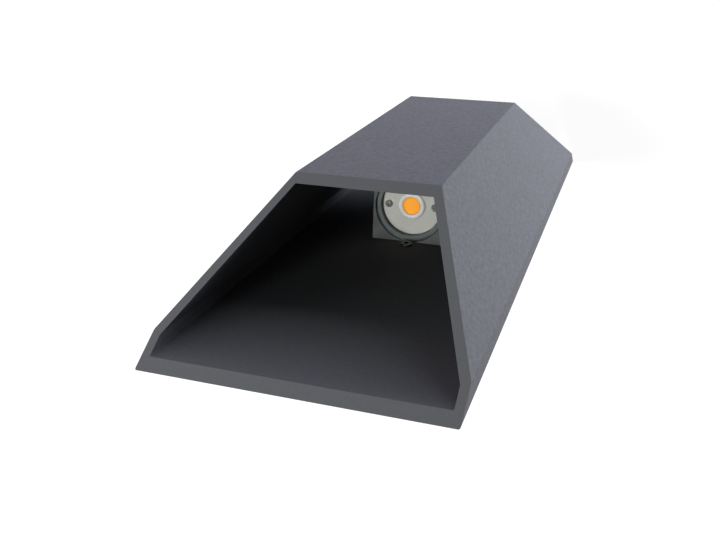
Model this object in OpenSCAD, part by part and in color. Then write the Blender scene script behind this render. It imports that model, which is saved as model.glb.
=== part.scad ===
// Outdoor wall sconce: an aluminium shade open at the top and at the bottom, with a light box
// in the middle that shines both ways along the wall.
// X runs to the right as the lamp is seen from the front, Z runs up, and +Y runs into the wall.
// A depth is a distance out of the wall, so a point at depth d lies at y = -d.
// The origin is on the wall, in the middle of the bracket's back face.

/* [Shade] */
// Length of the shade's back plate, up and down the wall
back_h = 344; // [300:2:400]
// Length of the shade's front face
face_h = 174; // [130:2:220]
// Width of the shade at the wall
back_w = 120; // [108:1:150]
// Width of the shade's front face
face_w = 62; // [50:1:80]
// Depth of the shade, out of the wall
shade_d = 54; // [50:1:80]
// Depth of the upright band next to the wall
band_d = 9.4; // [7:0.2:14]
// Thickness of the shade's walls
shade_t = 3.4; // [2.8:0.1:4]

/* [Light box] */
// Length of the light box, up and down
box_len = 44; // [43:1:60]
// Metal left in front of each glass and behind it
box_rim = 0.9; // [0.8:0.1:3]
// Metal left at each side of a glass
box_cheek = 1.4; // [1.2:0.1:3]
// How much narrower each side of the box gets from back to front
box_draft = 1; // [0:0.1:1.2]
// Thickness of the wall between an end's light and the inside of the box
end_wall = 3; // [2.5:0.1:4]
// Thickness of the wall at the front of the box
front_wall = 3; // [2:0.1:4]
// Thickness of the box's side walls, at the back
side_wall = 3.5; // [3.2:0.1:4]

/* [Glass] */
// Diameter of each glass
glass_w = 34; // [33:0.5:40]
// Thickness of each glass
glass_t = 2; // [1.5:0.1:3]
// How far the glass lies below the end of the box
glass_set = 0.3; // [0.1:0.1:0.8]
// Thickness of the seal under the glass
glass_seal_t = 0.5; // [0.3:0.1:1]

/* [Light source] */
// Diameter of the round plate that carries the emitter
plate_w = 29.4; // [28:0.1:30]
// Thickness of that plate
plate_t = 1.6; // [1:0.1:2]
// Drop from the glass seal's seat to the plate
plate_drop = 2.4; // [1.6:0.1:3]
// Thickness of the thermal pad behind the plate
pad_t = 0.3; // [0.2:0.1:0.5]
// Diameter of the emitter
emitter_w = 8.9; // [6:0.1:10]
// Height of the emitter over the plate
emitter_t = 0.6; // [0.3:0.1:0.8]
// Diameter of the white ring round the emitter
ring_w = 13.5; // [12:0.1:16]
// Height of the white ring over the plate
ring_t = 0.9; // [0.6:0.1:1]
// Distance between the plate's two screws
plate_screw_span = 23.2; // [21:0.1:24]

/* [Wall bracket] */
// Width of the bracket
bracket_w = 28; // [24:1:40]
// Length of the bracket
bracket_h = 150; // [130:2:180]
// Thickness of the bracket
bracket_t = 2.5; // [2.2:0.1:3]
// Distance from each wall screw's hole to the end of the bracket
wall_hole_edge = 13; // [8:0.5:20]
// Diameter of the wall screw holes
wall_hole_w = 4.6; // [4:0.1:5]
// Diameter of the cable's hole in the bracket
bracket_cable_w = 18; // [17:0.5:20]

/* [Screws] */
// Thread of the screws that hold the shade to the bracket
fixing_thread = 4; // [3.5:0.1:4.5]
// Diameter of their heads
fixing_head_w = 6.8; // [6:0.1:8]
// Height of their heads
fixing_head_t = 2; // [1.6:0.1:3]
// Distance from the light box to the middle of a fixing screw
fixing_offset = 4.2; // [4.1:0.1:8]
// Thread of the screws that hold the light box to the shade
box_thread = 3; // [2.5:0.1:3]
// Length of those screws
box_screw_len = 10; // [8:0.5:12]
// Thread of the plate screws
plate_thread = 2; // [1.8:0.1:2.2]
// Diameter of the plate screws' heads
plate_head_w = 3.8; // [3.4:0.1:4]
// Height of the plate screws' heads
plate_head_t = 1.2; // [1:0.1:1.3]
// Thread of the earth screw
earth_thread = 3; // [2.5:0.1:3]
// Depth of the thread in the earth screw's boss
earth_deep = 6; // [4:0.5:6.5]

/* [Cable entry] */
// Diameter of the cable that the grommet takes
cable_w = 7.2; // [6:0.1:8]
// Diameter of the grommet where it goes through the shade
grommet_w = 11; // [10.5:0.1:12]
// How far the grommet's lips reach past that diameter
grommet_lip = 1.5; // [1:0.1:2]
// Thickness of each lip
grommet_lip_t = 1.2; // [1:0.1:1.6]

/* [Driver] */
// Depth of the driver's case
driver_d = 14; // [13:0.5:15]
// Thickness of the case's walls
driver_wall = 1.2; // [1:0.1:1.5]
// Thickness of the driver's board
board_t = 1.2; // [1:0.1:1.6]
// Thickness of the tape that holds the driver
tape_t = 0.8; // [0.5:0.1:1]

/* [Terminal block] */
// Distance from one pole to the next
pole_pitch = 5.4; // [5:0.1:5.6]
// Height of the block, up and down
block_h = 11; // [10:0.5:13]
// Depth of the block
block_d = 8; // [7.5:0.1:8.5]

/* [Leads] */
// Diameter of the leads inside the box
lead_w = 1.2; // [0.9:0.1:1.3]

/* [Hidden] */
$fn = 64;

// Clearances
glass_gap = 0.1;
plate_gap = 0.15;
seal_gap = 0.05;
thread_gap = 0.02;
hole_gap = 0.25;
tip_gap = 0.3;
driver_gap = 1;
cut = 1;

// Depths out of the wall
shade_back = bracket_t;
floor_d = shade_back + shade_t;
shade_front = shade_back + shade_d;

// The shade's section: the sides lean in from the band to the front face
lean = atan2((back_w - face_w) / 2, shade_d - band_d);
end_slope = (back_h - face_h) / 2 / shade_d;
inner_band_d = band_d - shade_t * tan(lean / 2);
inner_face_w = face_w - 2 * shade_t * tan((90 - lean) / 2);

// The light box, round the axis of its two lights
pocket_w = glass_w + 2 * glass_gap;
box_d = pocket_w + 2 * box_rim;
box_back_w = pocket_w + 2 * box_cheek + box_draft;
box_front_w = pocket_w + 2 * box_cheek - box_draft;
axis_d = floor_d + box_d / 2;
box_front = floor_d + box_d;

// Heights from the middle of the lamp, for each end's stack of parts
face_z = box_len / 2;
glass_z = face_z - glass_set - glass_t;
seat_z = glass_z - glass_seal_t;
plate_top = seat_z - plate_drop;
plate_z = plate_top - plate_t;
pad_z = plate_z - pad_t;
room_z = pad_z - end_wall;

// The room inside the box, with a screw boss in each corner
room_w = box_back_w - 2 * side_wall;
room_d = box_d - front_wall;
boss_w = 6;
boss_x = room_w / 2 - boss_w / 2;
boss_z = room_z - boss_w / 2;
boss_floor = 2;
box_thread_deep = box_screw_len - shade_t + tip_gap;

// The groove and seal in the back of the box
groove_w = 1.2;
groove_d = 1;
groove_x = (room_w + side_wall) / 2;
groove_z = room_z + 1.6;

// Screw heads
recess_d = 0.8;
recess_w = 0.6;
fixing_z = face_z + fixing_offset;
fixing_socket_w = 2.5;
fixing_socket_d = 1.2;
box_head_w = 2 * box_thread - 0.4;
earth_head_w = 5.2;
earth_head_t = 2;

// The hole in each end wall for the leads, and the solder pads beside the ring
lead_offset = (ring_w + plate_w) / 4;
lead_x = 2.2;
lead_hole_w = 7;
lead_lift = 0.2;
pad_offset = ring_w / 2 + 0.9;

// The driver, taped to the front wall of the room
driver_w = room_w - 2 * driver_gap;
driver_h = 2 * (room_z - driver_gap);
driver_front = box_front - front_wall - tape_t;
driver_back = driver_front - driver_d;
rib_d = 2;
rib_w = 1.2;
board_front = driver_front - driver_wall - rib_d;
parts_front = board_front - board_t;
cover_lip = 0.8;
tape_inset = 2;

// The terminal block, on the back of the driver
block_w = 3 * pole_pitch + 1.6;
block_back = driver_back - block_d;
sleeve_w = 3.6;
sleeve_bore = 2.6;
sleeve_h = block_h - 2;
pole_d = driver_back - sleeve_w / 2 - 1.2;
pole_screw_w = 2.4;
pole_screw_z = sleeve_h / 2 - 1.9;
pole_head_drop = 1;

// The earth screw, on a boss at the left of the room, with its lug turned up and to the right
washer_w = 5.2;
washer_t = 0.5;
lug_w = 5.4;
lug_t = 0.6;
lug_turn = 45;
barrel_w = 2.2;
barrel_start = 3.4;
barrel_end = 6.4;
earth_x = -(room_w - lug_w) / 2 + tip_gap;
earth_face = driver_back - 1.5 - boss_floor - earth_deep;
lug_d = earth_face - washer_t - lug_t;

// Draws its children round the axis of the lights, for the upper end or turned over for the lower.
module at_end(upper) {
    mirror([0, 0, upper ? 0 : 1])
        translate([0, -axis_d, 0])
            children();
}

// Draws its children with their +Z pointing out of the wall, from a place at a given depth.
module out_of_wall(x, z, depth) {
    translate([x, -depth, z])
        rotate([90, 0, 0])
            children();
}

module at_corners() {
    for (x = [-1, 1], z = [-1, 1])
        out_of_wall(x * boss_x, z * boss_z, 0)
            mirror([x < 0 ? 1 : 0, 0, 0])
                mirror([0, z < 0 ? 1 : 0, 0])
                    children();
}

// A cross cut into the XY plane, from above.
module cross_recess(width) {
    for (turn = [0, 90])
        rotate([0, 0, turn])
            translate([-width / 2, -recess_w / 2, -recess_d])
                cube([width, recess_w, recess_d + cut]);
}

module washer(outer_w, inner_w, height) {
    difference() {
        cylinder(d = outer_w, h = height);
        translate([0, 0, -cut])
            cylinder(d = inner_w, h = height + 2 * cut);
    }
}

// The shade's section, for its outside or for the space inside it.
module shade_section(back, front, half_back, half_front, band) {
    polygon([
        [-half_back, -back], [half_back, -back], [half_back, -band],
        [half_front, -front], [-half_front, -front], [-half_back, -band],
    ]);
}

// What is left between the two slanting ends, seen from the side.
module between_ends() {
    rotate([90, 0, 90])
        linear_extrude(height = back_w + 2 * cut, center = true)
            polygon([
                [cut - shade_back, -back_h / 2 - cut * end_slope],
                [cut - shade_back, back_h / 2 + cut * end_slope],
                [-shade_front - cut, face_h / 2 - cut * end_slope],
                [-shade_front - cut, -face_h / 2 + cut * end_slope],
            ]);
}

// Clearance hole for a box screw, with its countersink in the back of the shade.
module countersunk_hole() {
    head = box_head_w + 2 * thread_gap;
    translate([0, 0, -cut]) {
        cylinder(d = box_thread + 2 * hole_gap, h = shade_t + 2 * cut);
        cylinder(d = head, h = cut);
    }
    cylinder(d1 = head, d2 = box_thread, h = (head - box_thread) / 2);
}

module shade() {
    length = back_h + 2 * cut * end_slope;
    color("#5f6066")
        difference() {
            intersection() {
                difference() {
                    linear_extrude(height = length, center = true)
                        shade_section(shade_back, shade_front, back_w / 2, face_w / 2,
                                      shade_back + band_d);
                    linear_extrude(height = length + cut, center = true)
                        shade_section(floor_d, shade_front - shade_t, back_w / 2 - shade_t,
                                      inner_face_w / 2, shade_back + inner_band_d);
                }
                between_ends();
            }
            out_of_wall(0, 0, shade_back - cut)
                cylinder(d = grommet_w, h = shade_t + 2 * cut);
            for (side = [-1, 1])
                out_of_wall(0, side * fixing_z, shade_back - cut)
                    cylinder(d = fixing_thread + 2 * hole_gap, h = shade_t + 2 * cut);
            at_corners()
                translate([0, 0, shade_back])
                    countersunk_hole();
        }
}

// One end's pockets for the glass, the plate and its pad, and the holes into the end wall.
module light_pocket() {
    translate([0, 0, seat_z])
        cylinder(d = pocket_w, h = box_len);
    translate([0, 0, pad_z])
        cylinder(d = plate_w + 2 * plate_gap, h = box_len);
    for (side = [-1, 1])
        translate([side * plate_screw_span / 2, 0, room_z - cut])
            cylinder(d = plate_thread + 2 * thread_gap, h = box_len);
    translate([0, -lead_offset, room_z - cut])
        cylinder(d = lead_hole_w, h = end_wall + 2 * cut);
}

// The seal's path round the back of the box, as a flat frame that starts on the shade's floor.
module seal_frame(width, height) {
    out_of_wall(0, 0, floor_d)
        linear_extrude(height = height)
            difference() {
                square([2 * groove_x + width, 2 * groove_z + width], center = true);
                square([2 * groove_x - width, 2 * groove_z - width], center = true);
            }
}

module box_shell() {
    difference() {
        linear_extrude(height = box_len, center = true)
            polygon([
                [-box_back_w / 2, -floor_d], [box_back_w / 2, -floor_d],
                [box_front_w / 2, -box_front], [-box_front_w / 2, -box_front],
            ]);
        translate([-room_w / 2, -floor_d - room_d, -room_z])
            cube([room_w, room_d + cut, 2 * room_z]);
    }
}

// A boss that runs out to two walls of the room, so it has a square corner on that side.
module corner_boss(height) {
    cylinder(d = boss_w, h = height);
    cube([boss_w / 2 + recess_w, boss_w / 2 + recess_w, height]);
}

module lamp_box() {
    color("#47494b")
        difference() {
            union() {
                box_shell();
                at_corners()
                    translate([0, 0, floor_d])
                        corner_boss(box_thread_deep + boss_floor);
                out_of_wall(earth_x, 0, earth_face) {
                    cylinder(d = boss_w, h = earth_deep + boss_floor);
                    translate([-boss_w / 2 - recess_w, -boss_w / 2, 0])
                        cube([boss_w / 2 + recess_w, boss_w, earth_deep + boss_floor]);
                }
            }
            for (upper = [true, false])
                at_end(upper)
                    light_pocket();
            translate([0, cut, 0])
                seal_frame(groove_w, groove_d + cut);
            at_corners()
                translate([0, 0, floor_d - cut])
                    cylinder(d = box_thread + 2 * thread_gap, h = box_thread_deep + cut);
            out_of_wall(earth_x, 0, earth_face - cut)
                cylinder(d = earth_thread + 2 * thread_gap, h = earth_deep + cut);
        }
}

module box_seal() {
    color("#202224")
        seal_frame(groove_w - 2 * seal_gap, groove_d - seal_gap);
}

module box_screws() {
    color("#b9bbbe")
        at_corners()
            translate([0, 0, shade_back])
                difference() {
                    union() {
                        cylinder(d = box_thread, h = box_screw_len);
                        cylinder(d1 = box_head_w, d2 = box_thread, h = (box_head_w - box_thread) / 2);
                    }
                    mirror([0, 0, 1])
                        cross_recess(box_thread);
                }
}

module glass() {
    bevel = 0.3;
    edge = glass_w / 2;
    color("#c8dcdc", 0.35)
        translate([0, 0, glass_z])
            rotate_extrude()
                polygon([
                    [0, 0], [edge - bevel, 0], [edge, bevel],
                    [edge, glass_t - bevel], [edge - bevel, glass_t], [0, glass_t],
                ]);
}

module glass_seal() {
    color("#39464a")
        translate([0, 0, seat_z])
            washer(glass_w - 2 * glass_gap, plate_w + 2 * plate_gap + 2 * seal_gap, glass_seal_t);
}

// The round plate or the pad behind it, with holes for its screws and leads.
module pierced_disc(height) {
    difference() {
        cylinder(d = plate_w, h = height);
        for (side = [-1, 1]) {
            translate([side * plate_screw_span / 2, 0, -cut])
                cylinder(d = plate_thread + hole_gap, h = height + 2 * cut);
            translate([side * lead_x, -lead_offset, -cut])
                cylinder(d = lead_w + 2 * plate_gap, h = height + 2 * cut);
        }
    }
}

module led_plate() {
    color("#a6a7a2")
        translate([0, 0, plate_z])
            pierced_disc(plate_t);
}

module thermal_pad() {
    color("#8d8f92")
        translate([0, 0, pad_z])
            pierced_disc(pad_t);
}

module led_ring() {
    bevel = 0.35;
    inner = emitter_w / 2 + seal_gap;
    outer = ring_w / 2;
    color("#dcdcd8")
        translate([0, 0, plate_top])
            rotate_extrude()
                polygon([
                    [inner, 0], [outer, 0], [outer, ring_t - bevel],
                    [outer - bevel, ring_t], [inner + bevel, ring_t], [inner, ring_t - bevel],
                ]);
}

module led_emitter() {
    color("#f7a531")
        translate([0, 0, plate_top])
            cylinder(d = emitter_w, h = emitter_t);
}

module plate_screws() {
    shank = plate_t + pad_t + end_wall - tip_gap;
    color("#6e706e")
        for (side = [-1, 1])
            translate([side * plate_screw_span / 2, 0, plate_top])
                difference() {
                    union() {
                        translate([0, 0, -shank])
                            cylinder(d = plate_thread, h = shank);
                        cylinder(d = plate_head_w, h = plate_head_t);
                    }
                    translate([0, 0, plate_head_t])
                        cross_recess(plate_head_w - 1.6);
                }
}

// Points on a smooth curve that leaves a towards b and reaches d from c.
function curve(a, b, c, d, steps) = [
    for (i = [0:steps])
        let (t = i / steps, s = 1 - t)
        s * s * s * a + 3 * s * s * t * b + 3 * s * t * t * c + t * t * t * d
];

// A round tube along a route of points, as one closed surface. The route never runs along X.
function ring_at(route, i, radius, sides) =
    let (step = route[min(len(route) - 1, i + 1)] - route[max(0, i - 1)])
    let (ahead = step / norm(step), flat = cross(ahead, [1, 0, 0]), across = flat / norm(flat))
    let (up = cross(ahead, across))
    [for (k = [0:sides - 1]) route[i] + radius * (cos(360 * k / sides) * across + sin(360 * k / sides) * up)];

module tube(route, diameter, sides = 8) {
    points = [for (i = [0:len(route) - 1]) each ring_at(route, i, diameter / 2, sides)];
    last = (len(route) - 1) * sides;
    walls = [
        for (i = [0:len(route) - 2], k = [0:sides - 1])
            let (a = i * sides + k, b = i * sides + (k + 1) % sides)
            each [[a, a + sides, b], [b, a + sides, b + sides]]
    ];
    start = [for (k = [1:sides - 2]) [0, k, k + 1]];
    end = [for (k = [1:sides - 2]) [last, last + k + 1, last + k]];
    polyhedron(points, concat(walls, start, end), convexity = 6);
}

// One light's two leads: out of the driver's end, through the plate and over to the solder pads.
module lamp_leads() {
    top = plate_top + lead_w / 2 + lead_lift;
    bend = lead_w;
    for (side = [-1, 1])
        color(side < 0 ? "#a02020" : "#1c1c1e")
            translate([side * lead_x, -lead_offset, 0])
                tube(concat(
                    [[0, 0, driver_h / 2], [0, 0, room_z]],
                    curve([0, 0, top - bend], [0, 0, top - bend / 2], [0, bend / 2, top], [0, bend, top], 4),
                    [[0, lead_offset - pad_offset, top]]
                ), lead_w);
}

module driver_case() {
    inside_w = driver_w - 2 * driver_wall;
    inside_h = driver_h - 2 * driver_wall;
    color("#e8e8e4")
        difference() {
            translate([-driver_w / 2, -driver_front, -driver_h / 2])
                cube([driver_w, driver_d - driver_wall, driver_h]);
            translate([-inside_w / 2, -driver_front + driver_wall + rib_d, -inside_h / 2])
                cube([inside_w, driver_d, inside_h]);
            translate([-inside_w / 2 + rib_w, -driver_front + driver_wall, -inside_h / 2])
                cube([inside_w - 2 * rib_w, driver_d, inside_h]);
        }
}

// A lid on the back of the case, with a rim that drops inside its walls.
module driver_cover() {
    rim_w = driver_w - 2 * driver_wall - 2 * glass_gap;
    rim_h = driver_h - 2 * driver_wall - 2 * glass_gap;
    color("#dcdcd6")
        out_of_wall(0, 0, driver_back) {
            linear_extrude(height = driver_wall)
                square([driver_w, driver_h], center = true);
            linear_extrude(height = driver_wall + cover_lip)
                difference() {
                    square([rim_w, rim_h], center = true);
                    square([rim_w - 2 * cover_lip, rim_h - 2 * cover_lip], center = true);
                }
        }
}

module driver_board() {
    edge = driver_wall + plate_gap;
    color("#2f6b3c")
        translate([-driver_w / 2 + edge, -board_front, -driver_h / 2 + edge])
            cube([driver_w - 2 * edge, board_t, driver_h - 2 * edge]);
}

module driver_transformer() {
    core = [10, 6.5, 9];
    color("#3a3a3c")
        translate([-core.x - 1, -parts_front, -core.z / 2])
            cube(core);
}

module driver_capacitor() {
    can_w = 5;
    can_h = 9;
    color("#27406b")
        translate([can_w, seal_gap + can_w / 2 - parts_front, -can_h / 2])
            cylinder(d = can_w, h = can_h);
}

module driver_tape() {
    color("#d8d8d0")
        translate([-driver_w / 2 + tape_inset, -driver_front - tape_t, -driver_h / 2 + tape_inset])
            cube([driver_w - 2 * tape_inset, tape_t, driver_h - 2 * tape_inset]);
}

module each_pole() {
    for (pole = [-1:1])
        translate([pole * pole_pitch, 0, 0])
            children();
}

module terminal_block() {
    color("#f2f2ee")
        difference() {
            translate([-block_w / 2, -driver_back, -block_h / 2])
                cube([block_w, block_d, block_h]);
            each_pole() {
                translate([0, -pole_d, -block_h / 2 - cut])
                    cylinder(d = sleeve_w + 2 * seal_gap, h = block_h + 2 * cut);
                for (side = [-1, 1])
                    out_of_wall(0, side * pole_screw_z, block_back - cut)
                        cylinder(d = pole_screw_w + 2 * hole_gap, h = pole_d - block_back + cut);
            }
        }
}

module terminal_sleeves() {
    color("#b08d3c")
        each_pole()
            difference() {
                translate([0, -pole_d, -sleeve_h / 2])
                    washer(sleeve_w, sleeve_bore, sleeve_h);
                for (side = [-1, 1])
                    out_of_wall(0, side * pole_screw_z, pole_d - sleeve_w)
                        cylinder(d = pole_screw_w + 2 * thread_gap, h = sleeve_w);
            }
}

module terminal_screws() {
    head_d = block_back + pole_head_drop;
    tip_d = pole_d - lead_w / 2 - tip_gap;
    color("#b9bbbe")
        each_pole()
            for (side = [-1, 1])
                out_of_wall(0, side * pole_screw_z, head_d)
                    difference() {
                        cylinder(d = pole_screw_w, h = tip_d - head_d);
                        translate([-pole_screw_w, -recess_w / 2, -cut])
                            cube([2 * pole_screw_w, recess_w, recess_d + cut]);
                    }
}

// Leads from the two outer poles into the driver's cover.
module supply_leads() {
    held = 3;
    out = 0.5;
    entry_z = driver_h / 2 - 1.4;
    for (pole = [-1, 1])
        color(pole < 0 ? "#6b4226" : "#2b55a0")
            translate([pole * pole_pitch, 0, 0])
                tube(concat(
                    [[0, -pole_d, block_h / 2 - held]],
                    curve([0, -pole_d, block_h / 2 + out], [0, -pole_d, entry_z],
                          [0, -pole_d, entry_z], [0, -driver_back, entry_z], 5)
                ), lead_w);
}

module earth_screw() {
    shank = washer_t + lug_t + earth_deep - tip_gap;
    color("#c8b45a")
        out_of_wall(earth_x, 0, lug_d)
            difference() {
                union() {
                    cylinder(d = earth_thread, h = shank);
                    translate([0, 0, -earth_head_t])
                        cylinder(d = earth_head_w, h = earth_head_t);
                }
                translate([0, 0, -earth_head_t])
                    mirror([0, 0, 1])
                        cross_recess(earth_thread);
            }
}

module earth_washer() {
    color("#c9cbce")
        out_of_wall(earth_x, 0, earth_face - washer_t)
            washer(washer_w, earth_thread + 2 * hole_gap, washer_t);
}

// A ring lug under the earth screw's head, with a crimped barrel for its lead.
module earth_lug() {
    neck_w = 2;
    color("#c3c5c8")
        out_of_wall(earth_x, 0, lug_d)
            rotate([0, 0, lug_turn]) {
                difference() {
                    union() {
                        cylinder(d = lug_w, h = lug_t);
                        translate([0, -neck_w / 2, 0])
                            cube([barrel_start, neck_w, lug_t]);
                    }
                    translate([0, 0, -cut])
                        cylinder(d = earth_thread + 2 * hole_gap, h = lug_t + 2 * cut);
                }
                translate([barrel_start, 0, lug_t / 2])
                    rotate([0, 90, 0])
                        difference() {
                            cylinder(d = barrel_w, h = barrel_end - barrel_start);
                            translate([0, 0, lug_t])
                                cylinder(d = lead_w + 2 * seal_gap, h = barrel_end);
                        }
            }
}

// From the middle pole round to the lug's barrel.
module earth_lead() {
    held = 3;
    loop = 4.5;
    towards = [cos(lug_turn), 0, sin(lug_turn)];
    lug = [earth_x, -lug_d - lug_t / 2, 0];
    mouth = lug + barrel_end * towards;
    color("#7d9a2e")
        tube(concat(
            [[0, -pole_d, block_h / 2 - held]],
            curve([0, -pole_d, block_h / 2 + 1], [0, -pole_d, block_h / 2 + 1 + loop],
                  mouth + loop * towards, mouth, 8),
            [lug + (barrel_start + 2 * lug_t) * towards]
        ), lead_w);
}

module cable_grommet() {
    lip_w = grommet_w + 2 * grommet_lip;
    whole = shade_t + 2 * grommet_lip_t;
    color("#1d1e20")
        out_of_wall(0, 0, shade_back - grommet_lip_t)
            difference() {
                union() {
                    cylinder(d = lip_w, h = grommet_lip_t);
                    cylinder(d = grommet_w - 2 * seal_gap, h = whole);
                    translate([0, 0, whole - grommet_lip_t])
                        cylinder(d = lip_w, h = grommet_lip_t);
                }
                translate([0, 0, -cut])
                    cylinder(d = cable_w, h = whole + 2 * cut);
            }
}

module bracket_outline() {
    corner = 4;
    square([bracket_w, bracket_h - 2 * corner], center = true);
    square([bracket_w - 2 * corner, bracket_h], center = true);
    for (x = [-1, 1], z = [-1, 1])
        translate([x * (bracket_w / 2 - corner), z * (bracket_h / 2 - corner)])
            circle(r = corner);
}

module wall_bracket() {
    sink = 1.8;
    wall_hole_z = bracket_h / 2 - wall_hole_edge;
    color("#b4b7ba")
        difference() {
            out_of_wall(0, 0, 0)
                linear_extrude(height = bracket_t)
                    bracket_outline();
            out_of_wall(0, 0, -cut)
                cylinder(d = bracket_cable_w, h = bracket_t + 2 * cut);
            for (side = [-1, 1]) {
                out_of_wall(0, side * fixing_z, -cut)
                    cylinder(d = fixing_thread + 2 * thread_gap, h = bracket_t + 2 * cut);
                out_of_wall(0, side * wall_hole_z, -cut)
                    cylinder(d = wall_hole_w, h = bracket_t + 2 * cut);
                out_of_wall(0, side * wall_hole_z, bracket_t - sink)
                    cylinder(d1 = wall_hole_w, d2 = wall_hole_w + 2 * (sink + cut), h = sink + cut);
            }
        }
}

// A low-headed screw with a hexagon socket, through the shade's back and into the bracket.
module fixing_screw(side) {
    shank = floor_d - tip_gap;
    color("#2a2b2d")
        out_of_wall(0, side * fixing_z, tip_gap)
            difference() {
                union() {
                    cylinder(d = fixing_thread, h = shank);
                    translate([0, 0, shank])
                        cylinder(d = fixing_head_w, h = fixing_head_t);
                }
                translate([0, 0, shank + fixing_head_t - fixing_socket_d])
                    cylinder(d = fixing_socket_w / cos(30), h = fixing_socket_d + cut, $fn = 6);
            }
}

shade();
lamp_box();
box_seal();
box_screws();
at_end(true) glass();  // upper_glass
at_end(false) glass();  // lower_glass
at_end(true) glass_seal();  // upper_glass_seal
at_end(false) glass_seal();  // lower_glass_seal
at_end(true) led_plate();  // upper_led_plate
at_end(false) led_plate();  // lower_led_plate
at_end(true) led_ring();  // upper_led_ring
at_end(false) led_ring();  // lower_led_ring
at_end(true) led_emitter();  // upper_led_emitter
at_end(false) led_emitter();  // lower_led_emitter
at_end(true) plate_screws();  // upper_plate_screws
at_end(false) plate_screws();  // lower_plate_screws
at_end(true) thermal_pad();  // upper_thermal_pad
at_end(false) thermal_pad();  // lower_thermal_pad
at_end(true) lamp_leads();  // upper_lamp_leads
at_end(false) lamp_leads();  // lower_lamp_leads
driver_case();
driver_cover();
driver_board();
driver_transformer();
driver_capacitor();
driver_tape();
terminal_block();
terminal_sleeves();
terminal_screws();
supply_leads();
earth_screw();
earth_washer();
earth_lug();
earth_lead();
cable_grommet();
wall_bracket();
fixing_screw(1);  // upper_fixing_screw
fixing_screw(-1);  // lower_fixing_screw
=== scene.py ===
# Looks of an outdoor wall light that shines up and down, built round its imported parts
import math

import bmesh
import bpy
from mathutils import Matrix, Vector


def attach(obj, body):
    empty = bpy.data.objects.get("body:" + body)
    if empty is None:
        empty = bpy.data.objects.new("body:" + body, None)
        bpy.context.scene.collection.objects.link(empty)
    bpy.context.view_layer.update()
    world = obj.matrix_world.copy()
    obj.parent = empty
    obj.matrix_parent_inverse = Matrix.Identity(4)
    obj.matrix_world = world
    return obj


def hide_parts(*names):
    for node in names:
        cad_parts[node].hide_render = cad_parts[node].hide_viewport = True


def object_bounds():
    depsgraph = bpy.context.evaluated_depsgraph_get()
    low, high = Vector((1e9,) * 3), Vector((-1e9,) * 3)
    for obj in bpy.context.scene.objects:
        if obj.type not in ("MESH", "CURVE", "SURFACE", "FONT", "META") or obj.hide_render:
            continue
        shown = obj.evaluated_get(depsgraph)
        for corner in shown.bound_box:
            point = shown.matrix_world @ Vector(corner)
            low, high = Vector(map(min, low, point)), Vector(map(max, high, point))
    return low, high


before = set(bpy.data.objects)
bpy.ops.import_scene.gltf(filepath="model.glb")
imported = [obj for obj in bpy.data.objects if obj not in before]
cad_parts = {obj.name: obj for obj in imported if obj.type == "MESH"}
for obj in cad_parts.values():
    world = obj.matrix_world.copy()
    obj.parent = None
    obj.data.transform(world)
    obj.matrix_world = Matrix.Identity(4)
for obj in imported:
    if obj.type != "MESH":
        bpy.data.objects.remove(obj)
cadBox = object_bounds()
mm = 0.001
root = "root"
print("frame loaded,", len(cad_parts), "nodes")


def newObject(name, data):
    thing = bpy.data.objects.new(name, data)
    bpy.context.collection.objects.link(thing)
    return thing


def fromMeshCode(name, bm, place=Matrix()):
    mesh = bpy.data.meshes.new(name)
    bm.to_mesh(mesh)
    bm.free()
    mesh.transform(place)
    return newObject(name, mesh)


# the camera stands beyond the upper end, as in the photograph, and looks down along the wall
photoCamera = {
    "place": (-0.1041, -0.1518, 0.3981),
    "ahead": (0.3009, 0.3814, -0.8741),
    "up": (0.1240, -0.9244, -0.3606),
    "lens": 42.08,
    "sensor": 36,
}


def setCamera():
    ahead = Vector(photoCamera["ahead"]).normalized()
    right = ahead.cross(Vector(photoCamera["up"])).normalized()
    up = right.cross(ahead)
    lens = bpy.data.cameras.new("camera")
    lens.lens = photoCamera["lens"]
    lens.sensor_width = photoCamera["sensor"]
    lens.clip_start = 0.01
    eye = newObject("camera", lens)
    turn = Matrix((right, up, -ahead)).transposed().to_4x4()
    eye.matrix_world = Matrix.Translation(photoCamera["place"]) @ turn
    bpy.context.scene.camera = eye


setCamera()


# nodes, for materials and for geometry alike
def addNode(tree, kind, inputs=None, **settings):
    node = tree.nodes.new(kind)
    for key, value in settings.items():
        setattr(node, key, value)
    for key, value in (inputs or {}).items():
        if isinstance(value, bpy.types.NodeSocket):
            tree.links.new(value, node.inputs[key])
        else:
            node.inputs[key].default_value = value
    return node


def calc(tree, operation, a, b=0.0, c=0.0):
    return addNode(tree, "ShaderNodeMath", {0: a, 1: b, 2: c}, operation=operation).outputs[0]


def addSockets(tree, side, kinds):
    for kind, names in kinds.items():
        for name in names:
            tree.interface.new_socket(name, in_out=side, socket_type="NodeSocket" + kind)


# stage: a pale floor, and a white background for what the camera, gloss and glass see
stageLook = {
    "floorColor": 0.20,
    "floorGlow": 0.95,
    "floorSize": 8.0,  # metres
    "floorGap": 0.2,  # millimetres below the object
    "ambient": 0.01,
}
lamps = {
    # name: direction from the object, distance, size, power in watts, colour
    "highLeft": ((0.64, 0.0, 0.77), 1.2, 0.5, 8.9, (0.98, 1.0, 0.93)),
    "frontLeft": ((0.91, -0.33, -0.26), 0.9, 0.7, 5.0, (0.93, 0.80, 1.0)),
    "lowRight": ((-0.81, -0.30, -0.50), 1.5, 0.4, 20.3, (1.0, 0.99, 0.93)),
    "lowFront": ((-0.62, -0.50, -0.60), 0.9, 0.4, 4.5, (0.80, 0.82, 1.0)),
    "lowMiddle": ((-0.28, -0.77, -0.57), 1.5, 1.1, 9.7, (0.87, 0.93, 1.0)),
    "aboveLeft": ((0.18, -0.05, 0.98), 1.4, 0.2, 10.4, (0.97, 1.0, 0.99)),
}
bpy.context.scene.view_settings.view_transform = "Standard"


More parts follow.
